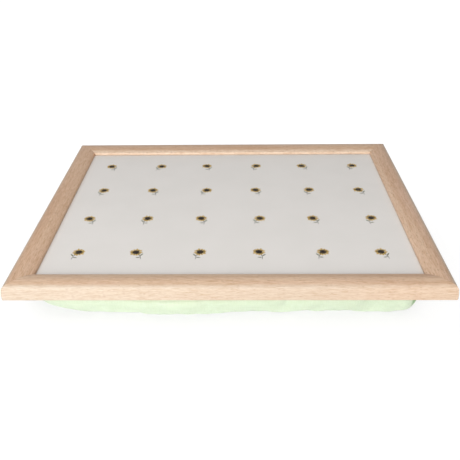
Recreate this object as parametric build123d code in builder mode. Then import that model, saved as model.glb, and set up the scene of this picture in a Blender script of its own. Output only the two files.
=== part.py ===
from build123d import *
import os
from math import asin, cos, sin, sqrt

# Lap tray: a mitred wooden frame round a printed board, over a bead-filled cushion
# that hook-and-loop strips hold to the board's underside.
# Lengths are in millimetres. +X runs along the long side, +Y to the back, +Z up.
# The origin is on the surface that the cushion stands on, under the middle of the tray.

os.makedirs("parts", exist_ok=True)

# Tray, outside the frame at its foot
tray_length = 443.5
tray_width = 343.5
corner_round = 2.2

# Section of the frame's rails
rail_width = 26.25
rail_height = 16.6
lip_height = 7.2
rebate_width = 7
face_lean = 1.75
crown_place = 11.5
crown_radius = 31
outer_shoulder = 5.6
inner_shoulder = 1.6
arris = 0.9

# Board, laid up into the rebate from below
core_thickness = 3.2
sheet_thickness = 0.4
board_gap = 0.5

# Pins that hold the board in the rebate
pin_width = 8
pin_thickness = 0.6
pin_bite = 9
pin_reach = 6
pin_gap = 0.1
long_pin_shares = (-0.36, 0, 0.36)
short_pin_shares = (-0.3, 0.3)

# V-shaped nails across the mitres, driven from below
nail_wing = 6
nail_gauge = 0.6
nail_height = 8
nail_gap = 0.1
nail_place_shares = (0.34, 0.72)

# Hook-and-loop strips between the board and the cushion
strip_width = 20
long_strip = 220
short_strip = 130
strip_corner = 3
hook_thickness = 1.2
loop_thickness = 1.5
strip_inset = 40

# Cushion: a sewn bag that stands on its flattened underside
bag_end_inset = 15.75
bag_side_inset = 22.5
bag_height = 47.8
bag_shift = -4.75
belly_height = 21.5
seam_height = 28
shoulder = 32
toe = 18
left_toe = 62
pressed_depth = 0.5
draw_in = 3
left_corner = 42
right_corner = 29
cloth_thickness = 0.8
filling_gap = 0.3
level_steps = 7

# Heights that follow from the stack
board_thickness = core_thickness + 2 * sheet_thickness
loop_top = bag_height + loop_thickness
board_underside = loop_top + hook_thickness
core_bottom = board_underside + sheet_thickness
core_top = core_bottom + core_thickness
surface_height = board_underside + board_thickness
frame_bottom = surface_height + lip_height - rail_height

# Widths that follow from the rail's section
rail_wall = rail_width - rebate_width
ledge_height = rail_height - lip_height
board_length = tray_length - 2 * (rail_wall + board_gap)
board_width = tray_width - 2 * (rail_wall + board_gap)

# The bag lies inside the frame's outline
bag_length = tray_length - 2 * bag_end_inset
bag_width = tray_width - 2 * bag_side_inset

# Outer bottom edge of each rail: x points into the tray and z along the rail
front_edge = Plane(origin=(0, -tray_width / 2, frame_bottom), x_dir=(0, 1, 0), z_dir=(1, 0, 0))
back_edge = Plane(origin=(0, tray_width / 2, frame_bottom), x_dir=(0, -1, 0), z_dir=(-1, 0, 0))
left_edge = Plane(origin=(-tray_length / 2, 0, frame_bottom), x_dir=(1, 0, 0), z_dir=(0, -1, 0))
right_edge = Plane(origin=(tray_length / 2, 0, frame_bottom), x_dir=(-1, 0, 0), z_dir=(0, 1, 0))


# Depth of the crown's arc below its top, where the outer side and the lip cut it
outer_drop = crown_radius - sqrt(crown_radius**2 - (crown_place - face_lean) ** 2)
inner_drop = crown_radius - sqrt(crown_radius**2 - (rail_width - crown_place) ** 2)

# Rail section: outer side that leans in from the foot, crown that falls towards the board,
# ledge over the rebate
with BuildSketch() as rail_section:
    with BuildLine():
        crown = ThreePointArc(
            (face_lean, rail_height - outer_drop),
            (crown_place, rail_height),
            (rail_width, rail_height - inner_drop),
        )
        Polyline(
            crown @ 1,
            (rail_width, ledge_height),
            (rail_wall, ledge_height),
            (rail_wall, 0),
            (0, 0),
            crown @ 0,
        )
    make_face()
    fillet(rail_section.vertices().sort_by(Axis.Y)[-1], outer_shoulder)
    fillet(rail_section.vertices().group_by(Axis.X)[-1].sort_by(Axis.Y)[-1], inner_shoulder)
    fillet(rail_section.vertices().group_by(Axis.Y)[0], arris)


# The nails of every mitre. The gap makes the pockets in the wood
def mitre_nails(gap):
    wing = nail_wing + gap
    with BuildPart() as nails:
        for side_x in (-1, 1):
            for side_y in (-1, 1):
                for share in nail_place_shares:
                    spot_x = side_x * (tray_length / 2 - share * rail_wall)
                    spot_y = side_y * (tray_width / 2 - share * rail_wall)
                    with BuildSketch(Plane.XY.offset(frame_bottom)):
                        with BuildLine():
                            Polyline(
                                (spot_x - side_x * wing, spot_y),
                                (spot_x, spot_y),
                                (spot_x, spot_y - side_y * wing),
                            )
                        trace(line_width=nail_gauge + 2 * gap)
                    extrude(amount=nail_height + gap)
    return nails


# The pointed pins under the board's edge. The gap makes the slots in the wood
def edge_pins(gap):
    level = board_underside - frame_bottom - pin_thickness - gap
    rows = (
        (front_edge, tray_length, long_pin_shares),
        (back_edge, tray_length, long_pin_shares),
        (left_edge, tray_width, short_pin_shares),
        (right_edge, tray_width, short_pin_shares),
    )
    with BuildPart() as pins:
        for edge, run, shares in rows:
            for share in shares:
                middle = edge.origin + edge.x_dir * rail_wall + edge.z_dir * (share * run)
                bed = Plane(middle + Vector(0, 0, level), x_dir=edge.x_dir, z_dir=(0, 0, 1))
                with BuildSketch(bed):
                    with BuildLine():
                        Polyline(
                            (pin_reach, -pin_width / 2),
                            (pin_width / 2 - pin_bite, -pin_width / 2),
                            (-pin_bite, 0),
                            (pin_width / 2 - pin_bite, pin_width / 2),
                            (pin_reach, pin_width / 2),
                            close=True,
                        )
                    make_face()
                    offset(amount=gap, kind=Kind.INTERSECTION)
                extrude(amount=pin_thickness + 2 * gap)
    return pins


mitre_v_nails = mitre_nails(0)
nail_pockets = mitre_nails(nail_gap)
board_pins = edge_pins(0)
pin_slots = edge_pins(pin_gap)


# One rail: the section run along its edge and mitred at both ends
def mitred_rail(edge, run):
    with BuildPart() as rail:
        with BuildSketch(edge):
            add(rail_section.sketch)
        extrude(amount=run / 2, both=True)
        for end in (-1, 1):
            corner = edge.origin + edge.z_dir * (end * run / 2)
            mitre = Plane(corner, z_dir=edge.z_dir * end + edge.x_dir)
            split(bisect_by=mitre, keep=Keep.BOTTOM)
        with BuildSketch(Plane.XY.offset(frame_bottom)):
            RectangleRounded(tray_length, tray_width, corner_round)
        extrude(amount=rail_height, mode=Mode.INTERSECT)
        add(nail_pockets.part, mode=Mode.SUBTRACT)
        add(pin_slots.part, mode=Mode.SUBTRACT)
    return rail


front_rail = mitred_rail(front_edge, tray_length)
back_rail = mitred_rail(back_edge, tray_length)
left_rail = mitred_rail(left_edge, tray_width)
right_rail = mitred_rail(right_edge, tray_width)


# The board is a core between a printed sheet and a plain backing sheet
def board_layer(level, thickness):
    with BuildPart() as layer:
        with BuildSketch(Plane.XY.offset(level)):
            Rectangle(board_length, board_width)
        extrude(amount=thickness)
    return layer


backing_sheet = board_layer(board_underside, sheet_thickness)
board_core = board_layer(core_bottom, core_thickness)
print_sheet = board_layer(core_top, sheet_thickness)


# A strip lies flat at a level, its middle a step away from the middle of the bag
def strip(level, thickness, length, width, step_x, step_y):
    with BuildPart() as tape:
        with BuildSketch(Plane.XY.offset(level)):
            with Locations((bag_shift + step_x, step_y)):
                RectangleRounded(length, width, strip_corner)
        extrude(amount=thickness)
    return tape


# The four strips of one half of the fastening, in the order front, back, left, right
def strip_set(level, thickness):
    step_x = bag_length / 2 - strip_inset - strip_width / 2
    step_y = bag_width / 2 - strip_inset - strip_width / 2
    return (
        strip(level, thickness, long_strip, strip_width, 0, -step_y),
        strip(level, thickness, long_strip, strip_width, 0, step_y),
        strip(level, thickness, strip_width, short_strip, -step_x, 0),
        strip(level, thickness, strip_width, short_strip, step_x, 0),
    )


front_loop, back_loop, left_loop, right_loop = strip_set(bag_height, loop_thickness)
front_hook, back_hook, left_hook, right_hook = strip_set(loop_top, hook_thickness)


# The bag's form, moved in by skin. From the belly it rounds under to the toe and up to the
# shoulder, each nearly a quarter of an ellipse that ends flat, where the bag stands and where
# it is held. At every level its sides pull in between the corners, and the left corners are
# the slacker ones
def bag_form(skin):
    with BuildPart() as form:
        for step in range(-level_steps, level_steps + 1):
            if step < 0:
                drop = belly_height - skin
                end_round = toe
                left_round = left_toe
            else:
                drop = bag_height - belly_height - skin
                end_round = shoulder
                left_round = shoulder
            turn = step / level_steps * asin(drop / (drop + pressed_depth))
            tuck = 1 - cos(turn)
            level = belly_height + (drop + pressed_depth) * sin(turn)
            left = bag_shift - bag_length / 2 + left_round * tuck + skin
            right = bag_shift + bag_length / 2 - end_round * tuck - skin
            side = bag_width / 2 - end_round * tuck - skin
            middle = (left + right) / 2
            with BuildSketch(Plane.XY.offset(level)) as outline:
                with BuildLine():
                    ThreePointArc((left, -side), (middle, draw_in - side), (right, -side))
                    ThreePointArc((right, -side), (right - draw_in, 0), (right, side))
                    ThreePointArc((right, side), (middle, side - draw_in), (left, side))
                    ThreePointArc((left, side), (left + draw_in, 0), (left, -side))
                make_face()
                fillet(outline.vertices().sort_by(Axis.X)[:2], left_corner - skin)
                fillet(outline.vertices().sort_by(Axis.X)[-2:], right_corner - skin)
        loft(ruled=True)
    return form


bag_outside = bag_form(0)
bag_inside = bag_form(cloth_thickness)
bead_filling = bag_form(cloth_thickness + filling_gap)

with BuildPart() as cushion_top_cover:
    add(bag_outside.part)
    add(bag_inside.part, mode=Mode.SUBTRACT)
    split(bisect_by=Plane.XY.offset(seam_height), keep=Keep.TOP)

with BuildPart() as cushion_base_cover:
    add(bag_outside.part)
    add(bag_inside.part, mode=Mode.SUBTRACT)
    split(bisect_by=Plane.XY.offset(seam_height), keep=Keep.BOTTOM)


pieces = {
    "front_rail": front_rail,
    "back_rail": back_rail,
    "left_rail": left_rail,
    "right_rail": right_rail,
    "mitre_v_nails": mitre_v_nails,
    "board_pins": board_pins,
    "backing_sheet": backing_sheet,
    "board_core": board_core,
    "print_sheet": print_sheet,
    "front_hook_strip": front_hook,
    "back_hook_strip": back_hook,
    "left_hook_strip": left_hook,
    "right_hook_strip": right_hook,
    "front_loop_strip": front_loop,
    "back_loop_strip": back_loop,
    "left_loop_strip": left_loop,
    "right_loop_strip": right_loop,
    "cushion_top_cover": cushion_top_cover,
    "cushion_base_cover": cushion_base_cover,
    "bead_filling": bead_filling,
}
for name, piece in pieces.items():
    piece.part.label = name
    export_step(piece.part, f"parts/{name}.step")
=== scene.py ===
import math
import bmesh
import bpy
from mathutils import Matrix, Vector, noise


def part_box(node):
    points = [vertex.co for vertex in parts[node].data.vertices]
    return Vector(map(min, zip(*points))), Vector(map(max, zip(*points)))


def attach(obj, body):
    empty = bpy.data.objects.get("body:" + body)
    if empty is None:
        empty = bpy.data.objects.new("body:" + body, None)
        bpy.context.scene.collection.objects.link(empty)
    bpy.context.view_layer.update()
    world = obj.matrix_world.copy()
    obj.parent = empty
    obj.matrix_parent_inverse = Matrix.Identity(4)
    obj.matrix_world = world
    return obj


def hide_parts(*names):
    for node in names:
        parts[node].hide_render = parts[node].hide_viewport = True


# Lap tray: beech frame, printed board, and a bead cushion held on by hook-and-loop tape.
# Metres throughout. X runs along the long side, Y to the back, Z up from the table.
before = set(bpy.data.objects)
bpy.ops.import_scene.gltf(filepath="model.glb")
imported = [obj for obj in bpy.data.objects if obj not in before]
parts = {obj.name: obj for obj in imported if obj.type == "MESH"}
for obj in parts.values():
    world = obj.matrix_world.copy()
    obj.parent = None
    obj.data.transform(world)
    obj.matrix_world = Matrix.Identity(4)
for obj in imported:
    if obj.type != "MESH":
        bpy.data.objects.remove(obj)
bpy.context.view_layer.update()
scene = bpy.context.scene
print("frame loaded,", len(parts), "parts")


# camera, set against the product shot
shot = {
    "place": (0.01144, -0.61523, 0.40184),
    "lens": 45.607,
    "sensor": 36.0,
    "down": 0.556584,      # radians below the horizon
    "turn": -0.020314,
    "tilt": 0.0136068,
}


def setCamera():
    down, turn, tilt = shot["down"], shot["turn"], shot["tilt"]
    ahead = Vector((math.sin(turn) * math.cos(down), math.cos(turn) * math.cos(down),
                    -math.sin(down)))
    level = Vector((math.cos(turn), -math.sin(turn), 0))
    below = ahead.cross(level)
    across = level * math.cos(tilt) + below * math.sin(tilt)
    under = below * math.cos(tilt) - level * math.sin(tilt)
    body = bpy.data.cameras.new("shotCamera")
    body.sensor_width = shot["sensor"]
    body.lens = shot["lens"]
    camera = bpy.data.objects.new("shotCamera", body)
    scene.collection.objects.link(camera)
    turned = Matrix((across, -under, -ahead)).transposed().to_4x4()
    camera.matrix_world = Matrix.Translation(shot["place"]) @ turned
    scene.camera = camera


setCamera()
print("camera set")


# small helpers for node materials
def newMaterial(name):
    made = bpy.data.materials.new(name)
    made.use_nodes = True
    tree = made.node_tree
    return made, tree, tree.nodes["Principled BSDF"]


def put(tree, kind, **settings):
    made = tree.nodes.new(kind)
    for key, value in settings.items():
        setattr(made, key, value)
    return made


def plug(tree, source, target):
    # a socket is linked, a number or colour is typed in
    if isinstance(source, bpy.types.NodeSocket):
        tree.links.new(source, target)
    else:
        target.default_value = source


def sums(tree, way, first, second=0.0):
    made = put(tree, "ShaderNodeMath", operation=way)
    plug(tree, first, made.inputs[0])
    plug(tree, second, made.inputs[1])
    return made.outputs[0]


def times(tree, first, *others):
    for other in others:
        first = sums(tree, "MULTIPLY", first, other)
    return first


def fade(tree, value, low, high, start=0.0, end=1.0):
    made = put(tree, "ShaderNodeMapRange", interpolation_type="SMOOTHSTEP")
    plug(tree, value, made.inputs["Value"])
    for socket, number in (("From Min", low), ("From Max", high), ("To Min", start), ("To Max", end)):
        made.inputs[socket].default_value = number
    return made.outputs["Result"]


def tint(tree, amount, first, second, way="MIX"):
    made = put(tree, "ShaderNodeMix", data_type="RGBA", blend_type=way)
    plug(tree, amount, made.inputs[0])
    for source, target in ((first, made.inputs[6]), (second, made.inputs[7])):
        plug(tree, (*source, 1.0) if isinstance(source, tuple) else source, target)
    return made.outputs[2]


def objectSpace(tree, turn=0.0, shift=(0, 0, 0)):
    place = put(tree, "ShaderNodeTexCoord").outputs["Object"]
    turned = put(tree, "ShaderNodeMapping")
    plug(tree, place, turned.inputs["Vector"])
    turned.inputs["Rotation"].default_value = (0, 0, turn)
    turned.inputs["Location"].default_value = shift
    return turned.outputs["Vector"]


def axes(tree, place):
    made = put(tree, "ShaderNodeSeparateXYZ")
    plug(tree, place, made.inputs[0])
    return made.outputs


def inside(tree, spot, halfLength, halfWidth):
    # how far a spot is in from the ends and from the sides of a rectangle
    return [sums(tree, "SUBTRACT", half, sums(tree, "ABSOLUTE", spot[axis]))
            for axis, half in enumerate((halfLength, halfWidth))]


def stretched(tree, place, sizes):
    made = put(tree, "ShaderNodeVectorMath", operation="DIVIDE")
    plug(tree, place, made.inputs[0])
    made.inputs[1].default_value = sizes
    return made.outputs[0]


def cloudy(tree, place, sizes, detail=2.0, rough=0.5, bend=0.0):
    made = put(tree, "ShaderNodeTexNoise")
    plug(tree, stretched(tree, place, sizes), made.inputs["Vector"])
    made.inputs["Scale"].default_value = 1.0
    made.inputs["Detail"].default_value = detail
    made.inputs["Roughness"].default_value = rough
    made.inputs["Distortion"].default_value = bend
    return made.outputs["Fac"]


def patches(tree, cloud, start=0.0, end=1.0):
    # the cloud's values lie mostly between these two
    return fade(tree, cloud, 0.3, 0.7, start, end)


def cellular(tree, place, sizes, loose=1.0):
    made = put(tree, "ShaderNodeTexVoronoi")
    plug(tree, stretched(tree, place, sizes), made.inputs["Vector"])
    made.inputs["Scale"].default_value = 1.0
    made.inputs["Randomness"].default_value = loose
    return made.outputs


def relief(tree, shader, height, distance):
    made = put(tree, "ShaderNodeBump")
    made.inputs["Distance"].default_value = distance
    made.inputs["Strength"].default_value = 1.0
    plug(tree, height, made.inputs["Height"])
    plug(tree, made.outputs["Normal"], shader.inputs["Normal"])


def paint(name, material):
    # a CAD part takes the material in every slot it has
    for place in parts[name].material_slots:
        place.material = material


# beech, sanded and lacquered. The grain runs along each rail
beech = {
    "pale": (0.835, 0.625, 0.448),
    "warm": (0.695, 0.455, 0.298),
    "pink": (0.785, 0.545, 0.405),
    # paler wood on the outer sides, partly its own tone and partly painted light where the lamp falls
    # on them:
    # creamier towards the left of the front one, partly painted light from the lamp on the left, rosier
    # towards its right, and painted shade on the back one
    "side": (0.600, 0.508, 0.410),
    "sideCream": (0.640, 0.575, 0.485),
    "sideRose": (0.665, 0.525, 0.405),
    "sideBackShaded": (0.585, 0.493, 0.396),
    "edge": (0.76, 0.76, 0.77),          # painted shade along the outer shoulder
    "fall": (0.90, 0.87, 0.85),          # painted shade on the front rail's slope towards the board
    "lip": (0.90, 0.715, 0.555),         # painted light on the thin lip along the board
    "foot": (0.30, 0.22, 0.16),          # shadow line at the lip's foot
    "fibreTint": (0.74, 0.62, 0.52),
    "streakTint": (0.80, 0.68, 0.56),
    "fleckTint": (0.36, 0.20, 0.115),
    # bands across a rail, in metres in from the outside: from, to, and where it matters
    # how much there is at either end
    "sideBand": (0.0030, 0.0068, 0.80, 0.0),
    "streakBand": (0.0030, 0.0068, 0.36, 0.60),
    "shoulderShadeStart": (0.0034, 0.0046),
    "shoulderShadeEnd": (0.0065, 0.0110),
    "fallStart": (0.0120, 0.0180),
    "lipStart": (0.0195, 0.0240),
    "footStart": (0.0250, 0.0258),
    "footTop": (0.0545, 0.0558),         # this one is a height
    # the same along the front rail, in metres from the middle
    "warmSpan": (-0.22, 0.22, -0.28, 0.12),
    "creamSpan": (-0.20, 0.0, 0.75, 0.0),
    "roseSpan": (0.05, 0.20),
    # patterns: size along the grain, across it and through it, then detail, roughness, bend
    "figure": ((0.17, 0.0065, 0.0065), 3.0, 0.55, 0.35),
    "broad": ((0.30, 0.030, 0.030), 1.0, 0.5, 0.2),
    "rosy": ((0.09, 0.017, 0.017), 1.0),
    "fibre": ((0.0080, 0.00080, 0.00080), 3.0, 0.65),
    "streak": ((0.0140, 0.00130, 0.00130), 2.0, 0.6, 0.15),
    "fleck": (0.0050, 0.00120, 0.00120),
    # which of a pattern's values count, and how much at either end
    "figureCut": (0.30, 0.72, -0.18, 0.34),
    "broadCut": (0.30, 0.70),
    "broadSwing": 0.25,
    "rosyCut": (0.45, 0.75, 0.0, 0.35),
    "fibreCut": (0.32, 0.66, 0.60, 0.0),
    "streakCut": (0.48, 0.70),
    "fleckCut": (0.12, 0.40, 1.0, 0.0),
    "fleckChoice": (0.30, 0.85),         # only some of the cells hold a fleck
    "lacquer": (0.25, 0.75, 0.41, 0.53),
    "gloss": 0.30,
    "grainDepth": 0.00012,
    "halfLength": 0.22175,
    "halfWidth": 0.17175,
    "joint": (0.30, 0.19, 0.12),         # hairline of the glued mitre
    "jointShare": 0.40,
    "jointLine": 0.00010,
    # turn of the grain and start in the log, how warm the rail came out and its own shade,
    # how much painted light its lip takes, how strongly it is flecked, and how deep the painted shade
    # on its shoulder and its foot line are
    "rails": {
        "front_rail": {"turn": 0.0, "start": (1.31, 0.22, 0.05), "warmth": 0.30,
                       "shade": (1.0, 1.0, 1.0),
                       "lip": 0.0, "flecked": 0.36, "shoulderShade": 0.0, "foot": 0.60},
        "back_rail": {"turn": 0.0, "start": (4.07, 0.61, 0.13), "warmth": 0.46,
                      "shade": (0.965, 0.955, 0.945),
                      "lip": 0.95, "flecked": 0.50, "shoulderShade": 0.90, "foot": 0.60},
        "left_rail": {"turn": math.pi / 2, "start": (7.53, 0.37, 0.29), "warmth": 0.52,
                      "shade": (0.975, 0.94, 0.92),
                      "lip": 0.0, "flecked": 0.52, "shoulderShade": 0.20, "foot": 0.25},
        "right_rail": {"turn": math.pi / 2, "start": (2.89, 0.83, 0.41), "warmth": 0.44,
                       "shade": (1.005, 1.010, 1.025),
                       "lip": 0.20, "flecked": 0.62, "shoulderShade": 0.38, "foot": 0.60},
    },
}


def woodColour(tree, name, grain, warmth, shade):
    # long bands from pale to warm, rosy here and there
    figure = cloudy(tree, grain, *beech["figure"])
    broad = cloudy(tree, grain, *beech["broad"])
    swing = (warmth - beech["broadSwing"], warmth + beech["broadSwing"])
    warm = sums(tree, "ADD", fade(tree, figure, *beech["figureCut"]),
                fade(tree, broad, *beech["broadCut"], *swing))
    if name == "front_rail":       # paler sapwood at the left end, a little deeper to the right, partly painted light falling off from the lamp on the left
        along = axes(tree, objectSpace(tree))[0]
        warm = sums(tree, "ADD", warm, fade(tree, along, *beech["warmSpan"]))
    warm = sums(tree, "MAXIMUM", sums(tree, "MINIMUM", warm, 1.0), 0.0)
    colour = tint(tree, warm, beech["pale"], beech["warm"])
    rosy = fade(tree, cloudy(tree, grain, *beech["rosy"]), *beech["rosyCut"])
    colour = tint(tree, rosy, colour, beech["pink"])
    return tint(tree, 1.0, colour, shade, "MULTIPLY")


def railBands(tree, name, colour, spot, inward, lip, shoulderShade, foot):
    # what changes from the outer side over the crown to the lip: the paler outer side, painted shade on
    # the shoulder and on the front rail's slope, painted light on the lip and a painted shadow line at
    # its foot
    # paler outer side, partly the wood's own tone and partly painted light, with painted shade on the
    # back rail's
    side = beech["sideBackShaded"] if name == "back_rail" else beech["side"]
    if name == "front_rail":
        side = tint(tree, fade(tree, spot[0], *beech["creamSpan"]), side, beech["sideCream"])
        side = tint(tree, fade(tree, spot[0], *beech["roseSpan"]), side, beech["sideRose"])
    colour = tint(tree, fade(tree, inward, *beech["sideBand"]), colour, side)
    # painted shade along the outer shoulder
    edge = times(tree, fade(tree, inward, *beech["shoulderShadeStart"]),
                 fade(tree, inward, *beech["shoulderShadeEnd"], shoulderShade, 0.0))
    colour = tint(tree, edge, colour, beech["edge"], "MULTIPLY")
    if name == "front_rail":
        # painted shade on the slope towards the board
        fall = fade(tree, inward, *beech["fallStart"])
        colour = tint(tree, fall, colour, beech["fall"], "MULTIPLY")
    # painted light on the lip, then a painted shadow line at its foot
    colour = tint(tree, fade(tree, inward, *beech["lipStart"], 0.0, lip), colour, beech["lip"])
    line = times(tree, fade(tree, spot[2], *beech["footTop"], foot, 0.0),
                 fade(tree, inward, *beech["footStart"]))
    return tint(tree, line, colour, beech["foot"])


def beechRail(name, turn, start, warmth, shade, lip, flecked, shoulderShade, foot):
    made, tree, shader = newMaterial("beech_" + name)
    grain = objectSpace(tree, turn, start)
    spot = axes(tree, objectSpace(tree))
    fromEnd, fromSide = inside(tree, spot, beech["halfLength"], beech["halfWidth"])
    inward = sums(tree, "MINIMUM", fromEnd, fromSide)
    colour = woodColour(tree, name, grain, warmth, shade)
    colour = railBands(tree, name, colour, spot, inward, lip, shoulderShade, foot)
    # fine fibres and streaks
    fibre = cloudy(tree, grain, *beech["fibre"])
    fine = fade(tree, fibre, *beech["fibreCut"])
    colour = tint(tree, fine, colour, beech["fibreTint"], "MULTIPLY")
    streak = fade(tree, cloudy(tree, grain, *beech["streak"]), *beech["streakCut"])
    streak = times(tree, streak, fade(tree, inward, *beech["streakBand"]))
    colour = tint(tree, streak, colour, beech["streakTint"], "MULTIPLY")
    # the short brown flecks that mark beech
    cells = cellular(tree, grain, beech["fleck"])
    chosen = put(tree, "ShaderNodeSeparateColor")
    plug(tree, cells["Color"], chosen.inputs[0])
    here = times(tree, fade(tree, cells["Distance"], *beech["fleckCut"]),
                 fade(tree, chosen.outputs[0], *beech["fleckChoice"]))
    colour = tint(tree, times(tree, here, flecked), colour, beech["fleckTint"])
    # the glued mitre shows as a hairline where two rails meet
    apart = sums(tree, "ABSOLUTE", sums(tree, "SUBTRACT", fromEnd, fromSide))
    joint = fade(tree, apart, beech["jointLine"], beech["jointLine"] * 3, beech["jointShare"], 0.0)
    plug(tree, tint(tree, joint, colour, beech["joint"]), shader.inputs["Base Color"])
    plug(tree, fade(tree, fibre, *beech["lacquer"]), shader.inputs["Roughness"])
    shader.inputs["Specular IOR Level"].default_value = beech["gloss"]
    height = sums(tree, "SUBTRACT", times(tree, fibre, 0.5), times(tree, here, 0.5))
    relief(tree, shader, sums(tree, "SUBTRACT", height, joint), beech["grainDepth"])
    return made


for railName, choices in beech["rails"].items():
    paint(railName, beechRail(railName, **choices))
print("rails in beech")


# printed board: warm white satin laminate on fibreboard, sealed paper underneath
board = {
    "white": (0.897, 0.861, 0.824),
    "shade": (0.876, 0.842, 0.803),
    "mottle": ((0.045,) * 3, 3.0),
    "openLength": 0.391,
    "openWidth": 0.291,
    "frameShade": (0.42, 0.36, 0.30),        # painted shade along the frame
    "frameShadeBand": (0.0, 0.0016, 0.40, 0.0),
    "satin": (0.46, 0.53),               # roughness of the laminate and of the ink on it
    "pebble": ((0.0011,) * 3, 2.0),
    "pebbleDepth": 0.00002,
    "gloss": 0.24,
    "core": (0.46, 0.33, 0.21),
    "coreDark": (0.33, 0.22, 0.13),
    "coreDull": (0.92, 0.8),
    "chips": ((0.0016, 0.0016, 0.0004), 4.0, 0.7),
    "chipDepth": 0.0002,
    "paper": (0.80, 0.78, 0.73),
    "paperDark": (0.74, 0.715, 0.66),
    "paperDull": (0.72, 0.6),
    "paperDepth": 0.00005,
    "pulp": ((0.012, 0.008, 0.01), 4.0, 0.6),
    "hair": ((0.0045, 0.0006, 0.001), 2.0, 0.6, 1.2),
    "hairCut": (0.60, 0.75, 0.0, 0.25),
    "hairTint": (0.60, 0.55, 0.47),
}


def satinFinish(tree, shader, place, gloss):
    pebble = cloudy(tree, place, *board["pebble"])
    plug(tree, patches(tree, pebble, *board["satin"]), shader.inputs["Roughness"])
    shader.inputs["Specular IOR Level"].default_value = gloss
    relief(tree, shader, pebble, board["pebbleDepth"])


def laminate():
    made, tree, shader = newMaterial("print_laminate")
    place = objectSpace(tree)
    mottle = cloudy(tree, place, *board["mottle"])
    colour = tint(tree, patches(tree, mottle), board["white"], board["shade"])
    inward = sums(tree, "MINIMUM", *inside(tree, axes(tree, place),
                                           board["openLength"] / 2, board["openWidth"] / 2))
    # painted shade where the sheet meets the frame
    colour = tint(tree, fade(tree, inward, *board["frameShadeBand"]), colour, board["frameShade"])
    plug(tree, colour, shader.inputs["Base Color"])
    satinFinish(tree, shader, place, board["gloss"])
    return made


def fibreboard():
    made, tree, shader = newMaterial("fibreboard")
    chips = cloudy(tree, objectSpace(tree), *board["chips"])
    plug(tree, tint(tree, patches(tree, chips), board["coreDark"], board["core"]),
         shader.inputs["Base Color"])
    plug(tree, patches(tree, chips, *board["coreDull"]), shader.inputs["Roughness"])
    relief(tree, shader, chips, board["chipDepth"])
    return made


def backingPaper():
    made, tree, shader = newMaterial("backing_paper")
    place = objectSpace(tree)
    pulp = cloudy(tree, place, *board["pulp"])
    hair = cloudy(tree, place, *board["hair"])
    colour = tint(tree, patches(tree, pulp), board["paperDark"], board["paper"])
    colour = tint(tree, fade(tree, hair, *board["hairCut"]), colour, board["hairTint"])
    plug(tree, colour, shader.inputs["Base Color"])
    plug(tree, patches(tree, pulp, *board["paperDull"]), shader.inputs["Roughness"])
    relief(tree, shader, sums(tree, "ADD", pulp, hair), board["paperDepth"])
    return made


paint("print_sheet", laminate())
paint("board_core", fibreboard())
paint("backing_sheet", backingPaper())
print("board laid up")


# the print: small brown-eyed daisies in straight rows, one flat mesh for each ink,
# as a screen printer has it
daisies = {
    "columns": (-0.1625, -0.0975, -0.0325, 0.0325, 0.0975, 0.1625),
    "rows": (-0.105, -0.035, 0.035, 0.105),
    "lean": 24.0,          # degrees to either side, in turn
    "leanStray": 8,        # and how far one may be off that
    "scale": 1.32,
    "inkLift": 0.00004,
    "gloss": 0.12,
    "washDetail": (3.0, 0.6),
    "washCut": (0.35, 0.65),
    "inks": {              # name: (height step, colour, second colour, grain size)
        "leaf_ink": (1, (0.20, 0.21, 0.13), (0.34, 0.34, 0.23), 0.0011),
        "petal_ink": (2, (0.60, 0.37, 0.085), (0.84, 0.62, 0.25), 0.0009),
        "line_ink": (3, (0.020, 0.015, 0.012), (0.050, 0.040, 0.032), 0.0006),
        "eye_ink": (4, (0.010, 0.007, 0.006), (0.024, 0.016, 0.012), 0.0007),
        "dot_ink": (5, (0.42, 0.27, 0.12), (0.56, 0.40, 0.20), 0.0006),
    },
    # one flower in millimetres, its stalk downward
    "middle": (0.0, 3.0),
    "petals": 13,
    "petalRoot": 1.5,      # distances from the middle
    "petalTip": 5.0,
    "petalStray": 0.45,    # how far a tip may be off that, and a petal be turned
    "turnStray": 0.1,
    "veinEnd": 3.9,
    "veinTurn": 0.03,
    "eye": 2.55,
    "eyeWave": 0.12,
    "petalWidth": 1.85,
    "petalBelly": 0.62,    # share of its length at which a petal is widest
    "fullness": 0.8,       # lower is rounder at the ends
    "dotRings": ((1.95, 11), (1.15, 6)),
    "dot": 0.14,
    "stalk": ((0.25, -1.2), (0.55, -3.4), (0.15, -5.6), (-0.8, -7.8)),
    "leaves": (((0.5, -3.6), (4.3, -1.6), 1.25), ((0.2, -5.2), (-3.4, -3.9), 1.05)),
    "tipBend": 0.35,
    "ribBend": 0.12,
    "veinPen": (0.80, 0.16),   # width of a line at its start and at its end
    "tipPen": (0.12, 0.05),
    "stalkPen": (0.42, 0.26),
    "ribPen": (0.20, 0.07),
}


def curveLine(points, steps=6):
    # a smooth line through a few given points
    line = []
    ends = [points[0]] + list(points) + [points[-1]]
    for before, a, b, after in zip(ends, ends[1:], ends[2:], ends[3:]):
        for step in range(steps):
            t = step / steps
            line.append(tuple(
                0.5 * (2 * q + (r - p) * t + (2 * p - 5 * q + 4 * r - s) * t * t
                       + (3 * q - p - 3 * r + s) * t ** 3)
                for p, q, r, s in zip(before, a, b, after)))
    return line + [tuple(points[-1])]


def stroke(points, start, end):
    # pen line that tapers from one width to the other
    line = curveLine(points)
    left, right = [], []
    for spot, (x, y) in enumerate(line):
        ahead = line[min(spot + 1, len(line) - 1)]
        behind = line[max(spot - 1, 0)]
        dx, dy = ahead[0] - behind[0], ahead[1] - behind[1]
        size = math.hypot(dx, dy) or 1
        half = (start + (end - start) * spot / (len(line) - 1)) / 2
        left.append((x - dy / size * half, y + dx / size * half))
        right.append((x + dy / size * half, y - dx / size * half))
    return [[left[i], left[i + 1], right[i + 1], right[i]] for i in range(len(line) - 1)]


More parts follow.
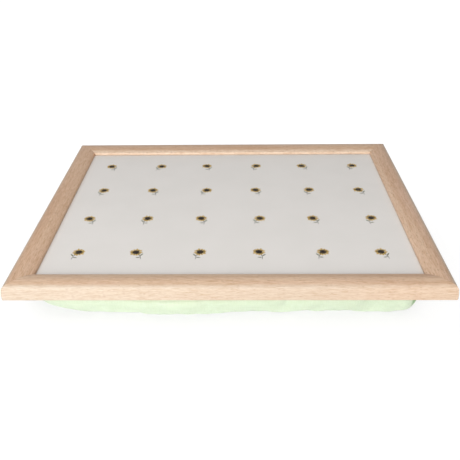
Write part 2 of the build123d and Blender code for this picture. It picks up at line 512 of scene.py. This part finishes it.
def blade(root, tip, width, belly=0.5, steps=14):
    # outline of a petal or leaf, widest at the given share of its length
    dx, dy = tip[0] - root[0], tip[1] - root[1]
    size = math.hypot(dx, dy)
    edge = []
    for side, run in ((1, range(0, steps + 1)), (-1, range(steps - 1, 0, -1))):
        for step in run:
            t = step / steps
            bent = t ** (math.log(0.5) / math.log(belly))
            out = side * width / 2 * math.sin(math.pi * bent) ** daisies["fullness"]
            edge.append((root[0] + dx * t - dy / size * out, root[1] + dy * t + dx / size * out))
    return edge


def around(radius, angle):
    x, y = daisies["middle"]
    return x + radius * math.cos(angle), y + radius * math.sin(angle)


def drawDaisy():
    # lists of faces for each ink
    art = {ink: [] for ink in daisies["inks"]}
    full = 2 * math.pi
    for petal in range(daisies["petals"]):
        a = full * petal / daisies["petals"] + daisies["turnStray"] * math.sin(5.1 * petal)
        root = around(daisies["petalRoot"], a)
        tip = around(daisies["petalTip"] + daisies["petalStray"] * math.sin(3.7 * petal + 1), a)
        vein = around(daisies["veinEnd"], a + daisies["veinTurn"])
        bend = ((tip[0] + vein[0]) / 2 - daisies["tipBend"] * math.sin(a),
                (tip[1] + vein[1]) / 2 + daisies["tipBend"] * math.cos(a))
        art["petal_ink"].append(blade(root, tip, daisies["petalWidth"], daisies["petalBelly"]))
        art["line_ink"] += stroke([root, vein], *daisies["veinPen"])
        art["line_ink"] += stroke([tip, bend, vein], *daisies["tipPen"])
    x, y = daisies["middle"]
    art["eye_ink"].append([(x + (daisies["eye"] + daisies["eyeWave"] * math.sin(7 * b)) * math.cos(b),
                            y + (daisies["eye"] + daisies["eyeWave"] * math.cos(9 * b)) * math.sin(b))
                           for b in (full * i / 36 for i in range(36))])
    for ring, count in daisies["dotRings"]:
        for place in range(count):
            x, y = around(ring, full * place / count + ring)
            art["dot_ink"].append([(x + daisies["dot"] * math.cos(c), y + daisies["dot"] * math.sin(c))
                                   for c in (full * i / 7 for i in range(7))])
    art["line_ink"] += stroke(daisies["stalk"], *daisies["stalkPen"])
    for root, tip, width in daisies["leaves"]:
        rib = ((root[0] + tip[0]) / 2, (root[1] + tip[1]) / 2 + daisies["ribBend"])
        art["leaf_ink"].append(blade(root, tip, width))
        art["line_ink"] += stroke([root, rib, tip], *daisies["ribPen"])
    return art


def inkMaterial(name, colour, second, grain):
    made, tree, shader = newMaterial(name)
    place = objectSpace(tree)
    wash = fade(tree, cloudy(tree, place, (grain,) * 3, *daisies["washDetail"]), *daisies["washCut"])
    plug(tree, tint(tree, wash, colour, second), shader.inputs["Base Color"])
    satinFinish(tree, shader, place, daisies["gloss"])
    return made


def printDaisies():
    art = drawDaisy()
    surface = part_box("print_sheet")[1].z
    for ink, (step, colour, second, grain) in daisies["inks"].items():
        sheet = bmesh.new()
        for row, y in enumerate(daisies["rows"]):
            for column, x in enumerate(daisies["columns"]):
                side = 1 if (row + column) % 2 else -1
                stray = daisies["leanStray"] * math.sin(2.3 * row + 1.7 * column)
                lean = math.radians(daisies["lean"] + stray) * side
                for face in art[ink]:
                    corners = []
                    for u, v in face:
                        u, v = u * side * daisies["scale"], v * daisies["scale"]
                        corners.append(sheet.verts.new((
                            x + (u * math.cos(lean) - v * math.sin(lean)) / 1000,
                            y + (u * math.sin(lean) + v * math.cos(lean)) / 1000,
                            surface + step * daisies["inkLift"])))
                    made = sheet.faces.new(corners)
                    made.normal_update()
                    if made.normal.z < 0:
                        made.normal_flip()
        bmesh.ops.triangulate(sheet, faces=[f for f in sheet.faces if len(f.verts) > 4])
        mesh = bpy.data.meshes.new("print_" + ink)
        sheet.to_mesh(mesh)
        sheet.free()
        mesh.materials.append(inkMaterial("print_" + ink, colour, second, grain))
        layer = bpy.data.objects.new("print_" + ink, mesh)
        scene.collection.objects.link(layer)
        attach(layer, "tray")


printDaisies()
print("daisies printed")


# nails, pins and the two halves of the tape
fixings = {
    "steel": (0.60, 0.60, 0.61),
    "dull": (0.42, 0.41, 0.40),
    "stain": (0.36, 0.29, 0.22),
    "rolled": ((0.006, 0.0003, 0.0003), 3.0, 0.6),
    "stains": ((0.003,) * 3, 3.0),
    "stainCut": (0.55, 0.8, 0.0, 0.35),
    "steelDull": (0.5, 0.3),
    "steelDepth": 0.00004,
    "hook": (0.80, 0.80, 0.77),
    "hookDark": (0.62, 0.62, 0.60),
    "hookCell": (0.0011, 0.0011, 0.002),
    "hookLoose": 0.35,
    "hookCut": (0.15, 0.45, 1.0, 0.0),
    "hookDull": (0.65, 0.4),
    "hookDepth": 0.0006,
    "loop": (0.82, 0.82, 0.79),
    "loopDark": (0.66, 0.66, 0.63),
    "fuzz": ((0.0006,) * 3, 4.0, 0.75, 1.5),
    "loopDull": (0.95, 0.8),
    "loopSheen": 0.4,
    "loopDepth": 0.0007,
    "corner": 0.003,
    "loopBack": 0.00045,     # thickness of each tape's woven back
    "hookBack": 0.00040,
    "selvedge": 0.0017,      # bare edge beside the loops or hooks
    "loopGrid": 0.0013,
    "hookGrid": 0.0008,
    "loopUneven": 0.14,
    "loopWaves": 900,        # per metre
    "betweenHooks": 0.15,    # height there, as a share of a hook's
    "stitch": (0.0022, 0.00036, 0.00024),
    "stitchForm": ((-0.5, 0.25), (-0.3, 0.9), (0.3, 0.9), (0.5, 0.25)),   # (along it, thickness)
    "stitchPitch": 0.0031,
    "stitchInset": 0.0009,
}


def rolledSteel():
    made, tree, shader = newMaterial("nail_steel")
    place = objectSpace(tree)
    rolled = cloudy(tree, place, *fixings["rolled"])
    stain = fade(tree, cloudy(tree, place, *fixings["stains"]), *fixings["stainCut"])
    colour = tint(tree, patches(tree, rolled), fixings["dull"], fixings["steel"])
    plug(tree, tint(tree, stain, colour, fixings["stain"]), shader.inputs["Base Color"])
    shader.inputs["Metallic"].default_value = 1.0
    plug(tree, patches(tree, rolled, *fixings["steelDull"]), shader.inputs["Roughness"])
    relief(tree, shader, rolled, fixings["steelDepth"])
    return made


def hookTape():
    made, tree, shader = newMaterial("hook_tape")
    cells = cellular(tree, objectSpace(tree), fixings["hookCell"], fixings["hookLoose"])
    hooks = fade(tree, cells["Distance"], *fixings["hookCut"])
    plug(tree, tint(tree, hooks, fixings["hookDark"], fixings["hook"]), shader.inputs["Base Color"])
    plug(tree, fade(tree, hooks, 0.0, 1.0, *fixings["hookDull"]), shader.inputs["Roughness"])
    relief(tree, shader, hooks, fixings["hookDepth"])
    return made


def loopTape():
    made, tree, shader = newMaterial("loop_tape")
    fuzz = cloudy(tree, objectSpace(tree), *fixings["fuzz"])
    plug(tree, tint(tree, patches(tree, fuzz), fixings["loopDark"], fixings["loop"]),
         shader.inputs["Base Color"])
    plug(tree, patches(tree, fuzz, *fixings["loopDull"]), shader.inputs["Roughness"])
    shader.inputs["Sheen Weight"].default_value = fixings["loopSheen"]
    relief(tree, shader, fuzz, fixings["loopDepth"])
    return made


def addPlate(tape, low, high, bottom, top):
    # flat plate with rounded corners
    r = fixings["corner"]
    edge = []
    for quarter, (cx, cy) in enumerate(((high.x - r, high.y - r), (low.x + r, high.y - r),
                                        (low.x + r, low.y + r), (high.x - r, low.y + r))):
        for step in range(6):
            a = (quarter + step / 5) * math.pi / 2
            edge.append((cx + r * math.cos(a), cy + r * math.sin(a)))
    rings = [[tape.verts.new((x, y, z)) for x, y in edge] for z in (bottom, top)]
    count = len(edge)
    for i in range(count):
        after = (i + 1) % count
        tape.faces.new((rings[0][i], rings[0][after], rings[1][after], rings[1][i]))
    bmesh.ops.triangulate(tape, faces=[tape.faces.new(rings[1]), tape.faces.new(rings[0][::-1])])


def addField(tape, low, high, grid, base, depth, bumpy, upward):
    # loops or hooks as one uneven sheet, its border down on the woven back
    inset = fixings["selvedge"]
    across = [round((high[i] - low[i] - 2 * inset) / grid) for i in (0, 1)]
    spots = []
    for j in range(across[1] + 1):
        row = []
        for i in range(across[0] + 1):
            x = low.x + inset + (high.x - low.x - 2 * inset) * i / across[0]
            y = low.y + inset + (high.y - low.y - 2 * inset) * j / across[1]
            rim = min(i, j, across[0] - i, across[1] - j)
            rise = 0.0 if rim == 0 else depth * bumpy(i, j, x, y)
            row.append(tape.verts.new((x, y, base + (rise if upward else -rise))))
        spots.append(row)
    for j in range(across[1]):
        for i in range(across[0]):
            face = (spots[j][i], spots[j][i + 1], spots[j + 1][i + 1], spots[j + 1][i])
            tape.faces.new(face if upward else face[::-1]).smooth = upward


def addStitches(tape, low, high, level):
    # a row of short stitches along every edge
    long, wide, tall = fixings["stitch"]
    inset, pitch, r = fixings["stitchInset"], fixings["stitchPitch"], fixings["corner"]
    left, right = low.x + inset, high.x - inset
    near, far = low.y + inset, high.y - inset
    rows = (((low.x + r, near), (high.x - r, near)), ((low.x + r, far), (high.x - r, far)),
            ((left, low.y + r), (left, high.y - r)), ((right, low.y + r), (right, high.y - r)))
    for (x0, y0), (x1, y1) in rows:
        run = math.hypot(x1 - x0, y1 - y0)
        dx, dy = (x1 - x0) / run, (y1 - y0) / run
        for number in range(int(run / pitch)):
            along = (number + 0.5) * pitch
            x, y = x0 + dx * along, y0 + dy * along
            sections = []
            for share, size in fixings["stitchForm"]:
                cx, cy = x + dx * long * share, y + dy * long * share
                sections.append([tape.verts.new((cx - dy * wide / 2 * side * size,
                                                 cy + dx * wide / 2 * side * size,
                                                 level + tall * size * up))
                                 for side, up in ((-1, 0), (-0.7, 1), (0.7, 1), (1, 0))])
            for a, b in zip(sections, sections[1:]):
                for i in range(3):
                    tape.faces.new((a[i], b[i], b[i + 1], a[i + 1])).smooth = True


def loopHeight(i, j, x, y):
    uneven = fixings["loopUneven"]
    return 1 - uneven + uneven * noise.noise(Vector((x, y, 0)) * fixings["loopWaves"])


def hookHeight(i, j, x, y):
    return 1.0 if (i + j) % 2 else fixings["betweenHooks"]


def makeTape(side, kind, material, body):
    low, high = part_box(side + "_" + kind + "_strip")
    tape = bmesh.new()
    if kind == "loop":
        back = low.z + fixings["loopBack"]
        addPlate(tape, low, high, low.z, back)
        addField(tape, low, high, fixings["loopGrid"], back, high.z - back, loopHeight, True)
        addStitches(tape, low, high, back)
    else:
        back = high.z - fixings["hookBack"]
        addPlate(tape, low, high, back, high.z)
        addField(tape, low, high, fixings["hookGrid"], back, back - low.z, hookHeight, False)
    mesh = bpy.data.meshes.new(side + "_" + kind + "_tape")
    tape.to_mesh(mesh)
    tape.free()
    mesh.materials.append(material)
    piece = bpy.data.objects.new(side + "_" + kind + "_tape", mesh)
    scene.collection.objects.link(piece)
    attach(piece, body)
    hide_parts(side + "_" + kind + "_strip")


steel = rolledSteel()
paint("mitre_v_nails", steel)
paint("board_pins", steel)
hooked, looped = hookTape(), loopTape()
for side in ("front", "back", "left", "right"):
    makeTape(side, "hook", hooked, "tray")
    makeTape(side, "loop", looped, "cushion")
print("fixings done")


# the bag: two cotton panels sewn edge to edge and blown up from the bead filling's form
bag = {
    "weld": 0.00002,
    "voxel": 0.005,
    "pressure": 4.0,
    "steps": 20,
    "looseness": 0.02,      # spare cloth, as a share
    "moveCap": 0.006,
    "skin": 0.0013,         # from the filling's form out to the cloth's outside
    "height": 0.0478,
    "heldLow": 0.0012,      # cloth under this height lies on the table
    "heldHigh": 0.0012,     # and this close to the top it is under the tray
    # how the lower front bulges or draws in from left to right: (x, metres outward)
    "lumps": ((-0.21, 0.0), (-0.170, -0.0028), (-0.14, -0.0012), (-0.115, 0.0),
              (-0.08, 0.0048), (-0.045, 0.0050), (-0.02, 0.0034), (0.008, 0.0010),
              (0.04, 0.0008), (0.075, -0.0008), (0.12, -0.0008), (0.155, -0.0030),
              (0.172, -0.0026), (0.188, 0.0010), (0.21, 0.0)),
    "leftEnd": 0.0122,      # how far the slack front left corner lies over to the left
    "leftCurve": 2.1,       # a higher one leaves more of the front straight
    # where these two moves set in, and over how far they grow to the full
    "lumpForward": (-0.085, -0.04),
    "lumpDown": (0.045, -0.02),
    "leftAside": (-0.160, -0.045),
    "leftForward": (-0.02, -0.06),
    "topRise": 0.0011,      # cloth between the tapes stands this much higher
    "topDepth": 0.004,      # so much of the height counts as the top
    "tapeMargin": 0.002,
    "tapeReach": 0.011,
    "topUneven": 0.25,
    "topWaves": 45,         # per metre
    "seam": 0.028,
    "seamDepth": 0.0017,
    "seamWidth": 0.0013,
    "seamRows": (-3, -1.6, -0.8, 0, 0.8, 1.6, 3),    # extra edge rows, in seam widths
    "rowMerge": 0.00005,
    "outward": 0.3,         # share of a normal's height that counts in the push outward
    "ripples": 105,         # per metre
    "seamUneven": 0.5,
    "puff": 0.0006,         # the swelling on both sides of the seam, its distance and width
    "puffAway": 0.006,
    "puffWidth": 0.004,
    "pucker": 0.0007,
    "puckerReach": 0.007,
    "roundLeft": 0.042,     # rounding of the corners
    "roundRight": 0.029,
    "cornerFold": 0.0012,
    "cornerWidth": 0.030,
    "cornerReach": 0.02,
    "cornerWaves": 60,
    "tuckDepth": 0.0016,
    "tuckWidth": 0.0013,
    "tuckRows": (-1.6, -0.7, 0, 0.7, 1.6),
    "tuckMargin": 0.004,
    "tuckBottom": 0.004,
    "tuckTop": 0.002,       # above the seam
    "tuckFade": 0.008,
    "diagonal": 1.4142,
    "beads": 0.0008,        # broad unevenness of a bag of beads
    "beadWaves": (14, 14, 22),
    # the cotton: its threads, the gaps between them, thicker threads each way
    "cloth": (0.682, 0.777, 0.607),
    "clothDeep": (0.642, 0.744, 0.555),
    "between": (0.55, 0.70, 0.47),
    "thread": 0.00050,
    "betweenCut": (-0.8, 0.2, 0.16, 0.0),
    "weft": ((0.030, 0.0009, 0.0009), 2.0),
    "warp": ((0.0009, 0.030, 0.010), 2.0),
    "slubCut": (0.75, 1.25),
    "slubShare": 0.8,
    "bounceLight": (1.07, 1.06, 1.08),        # painted light near the table
    "trayShade": (0.975, 0.975, 0.980),   # painted shade under the tray
    "bounceHeight": (0.002, 0.020),
    # painted shade in the fold at the front right corner
    "fold": (0.22, 0.42, 0.18),
    "foldShare": 0.90,
    "foldLine": -0.0488,    # added to x + y this makes nought along the fold
    "foldWidth": (0.0034, 0.0080),
    "foldRight": (0.17, 0.18),
    "foldBottom": (0.015, 0.020),
    "foldTop": 0.003,       # above the seam
    "clothDull": (-1.0, 1.0, 0.92, 0.80),
    "clothGloss": 0.2,
    "sheen": 0.2,
    "weaveDepth": 0.00010,
}


def applied(piece):
    # the mesh with its modifiers worked in
    bpy.context.view_layer.update()
    graph = bpy.context.evaluated_depsgraph_get()
    worked = bpy.data.meshes.new_from_object(piece.evaluated_get(graph))
    piece.modifiers.clear()
    piece.data = worked
    return worked


def inflate(piece):
    held = piece.vertex_groups.new(name="held")
    rest = [v.co.copy() for v in piece.data.vertices]
    for v in piece.data.vertices:
        if v.co.z < bag["heldLow"] or v.co.z > bag["height"] - bag["heldHigh"]:
            held.add([v.index], 1.0, "REPLACE")
    air = piece.modifiers.new("air", "CLOTH")
    air.settings.vertex_group_mass = "held"
    air.settings.use_pressure = True
    air.settings.uniform_pressure_force = bag["pressure"]
    air.settings.shrink_min = -bag["looseness"]
    air.settings.effector_weights.gravity = 0
    air.point_cache.frame_start = 1
    air.point_cache.frame_end = bag["steps"]
    for moment in range(1, bag["steps"] + 1):
        scene.frame_set(moment)
    worked = applied(piece)
    piece.vertex_groups.clear()
    for v, start in zip(worked.vertices, rest):
        moved = v.co - start
        if moved.length > bag["moveCap"]:
            moved *= bag["moveCap"] / moved.length
        v.co = start + moved
        v.co.z = min(max(v.co.z, 0.0), bag["height"])
    scene.frame_set(1)


def makeBag():
    mesh = parts["bead_filling"].data.copy()
    mesh.name = "cotton_bag"
    mesh.materials.clear()
    piece = bpy.data.objects.new("cotton_bag", mesh)
    scene.collection.objects.link(piece)
    weld = piece.modifiers.new("weld", "WELD")
    weld.merge_threshold = bag["weld"]
    even = piece.modifiers.new("even", "REMESH")
    even.mode = "VOXEL"
    even.voxel_size = bag["voxel"]
    wrap = piece.modifiers.new("wrap", "SHRINKWRAP")
    wrap.target = parts["bead_filling"]
    wrap.wrap_method = "NEAREST_SURFACEPOINT"
    wrap.wrap_mode = "ABOVE_SURFACE"
    wrap.offset = bag["skin"]
    applied(piece)
    for v in piece.data.vertices:
        v.co.z = min(max(v.co.z, 0.0), bag["height"])
    inflate(piece)
    finer = piece.modifiers.new("finer", "SUBSURF")
    finer.levels = finer.render_levels = 1
    applied(piece)
    return piece


cotton = makeBag()
print("bag blown up,", len(cotton.data.polygons), "faces")


def lumpAt(x):
    # a smooth curve through the listed lumps
    rows = bag["lumps"]
    if x <= rows[0][0] or x >= rows[-1][0]:
        return 0.0
    for (x0, out0), (x1, out1) in zip(rows, rows[1:]):
        if x <= x1:
            t = (x - x0) / (x1 - x0)
            return out0 + (out1 - out0) * t * t * (3 - 2 * t)


def ramp(value, start, run):
    # 0 up to the start, 1 from the end of the run; a run may go down
    return min(1.0, max(0.0, (value - start) / run))


def cornerCentres():
    # (middle of a corner's rounding, its side in x, its side in y)
    low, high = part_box("cushion_base_cover")
    ends = ((-1, low.x + bag["roundLeft"], bag["roundLeft"]),
            (1, high.x - bag["roundRight"], bag["roundRight"]))
    return [(Vector((x, sideY * (high.y - r), 0)), sideX, sideY) for sideX, x, r in ends
            for sideY in (-1, 1)]


def addRows(cloth, centres):
    # extra edge rows where the seam and the corner tucks pull the cloth in
    for step in bag["seamRows"]:
        everything = cloth.verts[:] + cloth.edges[:] + cloth.faces[:]
        level = bag["seam"] + step * bag["seamWidth"]
        bmesh.ops.bisect_plane(cloth, geom=everything, plane_co=(0, 0, level),
                               plane_no=(0, 0, 1), dist=bag["rowMerge"])
    margin = bag["tuckMargin"]
    for centre, sideX, sideY in centres:
        across = Vector((sideX, -sideY, 0)).normalized()
        for step in bag["tuckRows"]:
            near = []
            for f in cloth.faces:
                spot = f.calc_center_median()
                if ((spot.x - centre.x) * sideX > -margin and (spot.y - centre.y) * sideY > -margin
                        and spot.z < bag["seam"] + margin):
                    near.append(f)
            corner = {v for f in near for v in f.verts} | {e for f in near for e in f.edges}
            bmesh.ops.bisect_plane(cloth, geom=list(corner) + near, plane_no=across,
                                   plane_co=centre + across * step * bag["tuckWidth"],
                                   dist=bag["rowMerge"])


def pushAt(co, centres):
    # how far the seam, its puckers and the corner tucks move the cloth outward
    spot = Vector((co.x, co.y, 0))
    rise = co.z - bag["seam"]
    ripple = noise.noise(spot * bag["ripples"])
    push = -bag["seamDepth"] * math.exp(-(rise / bag["seamWidth"]) ** 2)
    push *= 1 + bag["seamUneven"] * ripple
    push += bag["puff"] * math.exp(-((abs(rise) - bag["puffAway"]) / bag["puffWidth"]) ** 2)
    push += bag["pucker"] * ripple * math.exp(-abs(rise) / bag["puckerReach"])
    cornerness = 0.0
    for centre, sideX, sideY in centres:
        dx, dy = (co.x - centre.x) * sideX, (co.y - centre.y) * sideY
        if min(dx, dy) > -bag["cornerWidth"]:
            cornerness = max(cornerness, math.exp(-((dx - dy) / bag["cornerWidth"]) ** 2))
        if dx > 0 and dy > 0 and rise < bag["tuckTop"]:
            tuck = math.exp(-((dx - dy) / bag["diagonal"] / bag["tuckWidth"]) ** 2)
            tuck *= ramp(co.z, 0.0, bag["tuckBottom"]) * ramp(rise, bag["tuckTop"], -bag["tuckFade"])
            push -= bag["tuckDepth"] * tuck
    fold = noise.noise(spot * bag["cornerWaves"] + Vector((3, 1, 7)))
    push += bag["cornerFold"] * cornerness * fold * math.exp(-abs(rise) / bag["cornerReach"])
    lie = Vector([place * waves for place, waves in zip(co, bag["beadWaves"])])
    return push + bag["beads"] * noise.noise(lie)


def settle(co, move, tapes):
    # the move outward, the lumps in front, the slack left end and the rise between the tapes
    forward = ramp(co.y, *bag["lumpForward"]) * ramp(co.z, *bag["lumpDown"])
    co += move
    co.y -= lumpAt(co.x) * forward
    aside = ramp(co.x, *bag["leftAside"]) ** bag["leftCurve"] * ramp(co.y, *bag["leftForward"])
    co.x -= bag["leftEnd"] * aside * ramp(co.z, *bag["lumpDown"])
    co.z = min(max(co.z, 0.0), bag["height"])
    if co.z > bag["height"] - bag["topDepth"]:
        free = min(math.hypot(max(a.x - co.x, co.x - b.x, 0), max(a.y - co.y, co.y - b.y, 0))
                   for a, b in tapes)
        rise = 1 - math.exp(-(max(0.0, free - bag["tapeMargin"]) / bag["tapeReach"]) ** 2)
        co.z += rise * bag["topRise"] * (1 + bag["topUneven"] * noise.noise(co * bag["topWaves"]))


def sewBag(piece):
    centres = cornerCentres()
    cloth = bmesh.new()
    cloth.from_mesh(piece.data)
    addRows(cloth, centres)
    cloth.normal_update()
    moves = []
    for v in cloth.verts:
        out = Vector((v.normal.x, v.normal.y, v.normal.z * bag["outward"]))
        upright = 1 - abs(v.normal.z) ** 2
        moves.append(out * pushAt(v.co, centres) * upright)
    tapes = [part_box(side + "_loop_strip") for side in ("front", "back", "left", "right")]
    for v, move in zip(cloth.verts, moves):
        settle(v.co, move, tapes)
    for f in cloth.faces:
        f.smooth = True
    cloth.to_mesh(piece.data)
    cloth.free()
    piece.data.update()


sewBag(cotton)
print("bag sewn,", len(cotton.data.polygons), "faces")


def cottonCloth():
    made, tree, shader = newMaterial("green_cotton")
    place = objectSpace(tree)
    spot = axes(tree, stretched(tree, place, (bag["thread"],) * 3))
    waves = [sums(tree, "SINE", times(tree, spot[i], math.pi)) for i in range(3)]
    facing = axes(tree, put(tree, "ShaderNodeTexCoord").outputs["Normal"])
    weave = None
    for axis, (one, other) in enumerate(((1, 2), (0, 2), (0, 1))):
        share = sums(tree, "POWER", sums(tree, "ABSOLUTE", facing[axis]), 2.0)
        threads = times(tree, waves[one], waves[other], share)
        weave = threads if weave is None else sums(tree, "ADD", weave, threads)
    slubs = sums(tree, "ADD", cloudy(tree, place, *bag["weft"]), cloudy(tree, place, *bag["warp"]))
    colour = tint(tree, fade(tree, slubs, *bag["slubCut"]), bag["clothDeep"], bag["cloth"])
    colour = tint(tree, fade(tree, weave, *bag["betweenCut"]), colour, bag["between"])
    x, y, z = axes(tree, place)
    # painted light low down near the table and painted shade up under the tray
    bounceTint = tint(tree, fade(tree, z, *bag["bounceHeight"]), bag["bounceLight"], bag["trayShade"])
    colour = tint(tree, 1.0, colour, bounceTint, "MULTIPLY")
    # painted shade in the fold at the front right corner, where the end of the bag turns away from the
    # light
    away = sums(tree, "ABSOLUTE", sums(tree, "ADD", sums(tree, "ADD", x, y), bag["foldLine"]))
    fold = times(tree, fade(tree, away, *bag["foldWidth"], bag["foldShare"], 0.0),
                 fade(tree, x, *bag["foldRight"]), fade(tree, z, *bag["foldBottom"]),
                 fade(tree, z, bag["seam"], bag["seam"] + bag["foldTop"], 1.0, 0.0))
    colour = tint(tree, fold, colour, bag["fold"])
    plug(tree, colour, shader.inputs["Base Color"])
    plug(tree, fade(tree, weave, *bag["clothDull"]), shader.inputs["Roughness"])
    shader.inputs["Specular IOR Level"].default_value = bag["clothGloss"]
    shader.inputs["Sheen Weight"].default_value = bag["sheen"]
    shader.inputs["Sheen Roughness"].default_value = 0.5
    height = sums(tree, "ADD", weave, times(tree, slubs, bag["slubShare"]))
    relief(tree, shader, height, bag["weaveDepth"])
    return made


cotton.data.materials.append(cottonCloth())
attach(cotton, "cushion")
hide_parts("cushion_top_cover", "cushion_base_cover", "bead_filling")
print("cushion ready")


# table, lamps and white surroundings
studio = {
    "tableSize": 14.0,
    "tableDrop": 0.0001,
    "tableGlow": 0.85,       # what the lens sees of the table without any lamp
    "tableFar": 1.0,         # the same, away from the tray
    "nearBy": (0.22, 0.50),  # metres over which the one becomes the other
    "nearShift": 0.10,       # measured from this far in front of the middle
    "contactReach": 0.035,   # metres of soft shade where something stands on the table
    "contactCut": (0.2, 1.0, 0.87, 1.0),
    "tableShade": 0.22,      # how much of the lamps' light the lens sees it throw back
    "tableBounce": 0.86,     # and how much of it reaches the tray
    "roomTop": 0.22,         # light from overhead, from level with the table, and more from behind
    "roomSide": 0.17,
    "roomBack": 0.72,
    "roomFade": 0.9,
    "lamps": {               # name: (azimuth, height in degrees, distance, width, watts)
        "front_lamp": (-11.5, 23.0, 1.5, 1.0, 22.0),
        "top_lamp": (-20.0, 58.0, 1.5, 1.1, 1.4),
    },
}


def seenDirectly(tree):
    path = put(tree, "ShaderNodeLightPath").outputs
    return sums(tree, "MAXIMUM", sums(tree, "MAXIMUM", path["Is Camera Ray"], path["Is Glossy Ray"]),
                path["Is Transmission Ray"])


def choose(tree, unseen, seen, target):
    # one shader for the light that the thing gives, the other for how it looks
    choice = put(tree, "ShaderNodeMixShader")
    plug(tree, seenDirectly(tree), choice.inputs[0])
    plug(tree, unseen.outputs[0], choice.inputs[1])
    plug(tree, seen.outputs[0], choice.inputs[2])
    plug(tree, choice.outputs[0], target.inputs["Surface"])


def makeTable():
    made, tree, shader = newMaterial("table")
    tree.nodes.remove(shader)
    bounce = put(tree, "ShaderNodeBsdfDiffuse")
    bounce.inputs["Color"].default_value = (studio["tableBounce"],) * 3 + (1,)
    shade = put(tree, "ShaderNodeBsdfDiffuse")
    shade.inputs["Color"].default_value = (studio["tableShade"],) * 3 + (1,)
    glow = put(tree, "ShaderNodeEmission")
    reach = put(tree, "ShaderNodeVectorMath", operation="LENGTH")
    plug(tree, objectSpace(tree, 0.0, (0, studio["nearShift"], 0)), reach.inputs[0])
    shaded = put(tree, "ShaderNodeAmbientOcclusion")
    shaded.inputs["Distance"].default_value = studio["contactReach"]
    contact = fade(tree, shaded.outputs["AO"], *studio["contactCut"])
    lit = fade(tree, reach.outputs["Value"], *studio["nearBy"], studio["tableGlow"], studio["tableFar"])
    plug(tree, times(tree, contact, lit), glow.inputs["Strength"])
    seen = put(tree, "ShaderNodeAddShader")
    plug(tree, shade.outputs[0], seen.inputs[0])
    plug(tree, glow.outputs[0], seen.inputs[1])
    choose(tree, bounce, seen, tree.nodes["Material Output"])

    half = studio["tableSize"] / 2
    corners = [(-half, -half, 0), (half, -half, 0), (half, half, 0), (-half, half, 0)]
    mesh = bpy.data.meshes.new("table")
    mesh.from_pydata(corners, [], [(0, 1, 2, 3)])
    mesh.materials.append(made)
    table = bpy.data.objects.new("table", mesh)
    table.location.z = -studio["tableDrop"]
    scene.collection.objects.link(table)


def makeRoom():
    room = bpy.data.worlds.new("room")
    room.use_nodes = True
    scene.world = room
    tree = room.node_tree
    soft = tree.nodes["Background"]
    white = put(tree, "ShaderNodeBackground")
    for background in (soft, white):
        background.inputs["Color"].default_value = (1, 1, 1, 1)
    way = axes(tree, put(tree, "ShaderNodeTexCoord").outputs["Generated"])
    above = fade(tree, way[2], 0.0, studio["roomFade"], studio["roomSide"], studio["roomTop"])
    behind = fade(tree, way[1], 0.0, studio["roomFade"], 0.0, studio["roomBack"])
    plug(tree, sums(tree, "ADD", above, behind), soft.inputs["Strength"])
    choose(tree, soft, white, tree.nodes["World Output"])


def hangLamps():
    for name, (azimuth, height, distance, width, watts) in studio["lamps"].items():
        body = bpy.data.lights.new(name, "AREA")
        body.shape = "SQUARE"
        body.size = width
        body.energy = watts
        lamp = bpy.data.objects.new(name, body)
        scene.collection.objects.link(lamp)
        a, h = math.radians(azimuth), math.radians(height)
        aim = Vector((math.sin(a) * math.cos(h), -math.cos(a) * math.cos(h), math.sin(h)))
        lamp.location = aim * distance
        lamp.rotation_euler = (-lamp.location).to_track_quat("-Z", "Y").to_euler()


makeTable()
makeRoom()
hangLamps()
scene.view_settings.view_transform = "Standard"
print("studio lit")
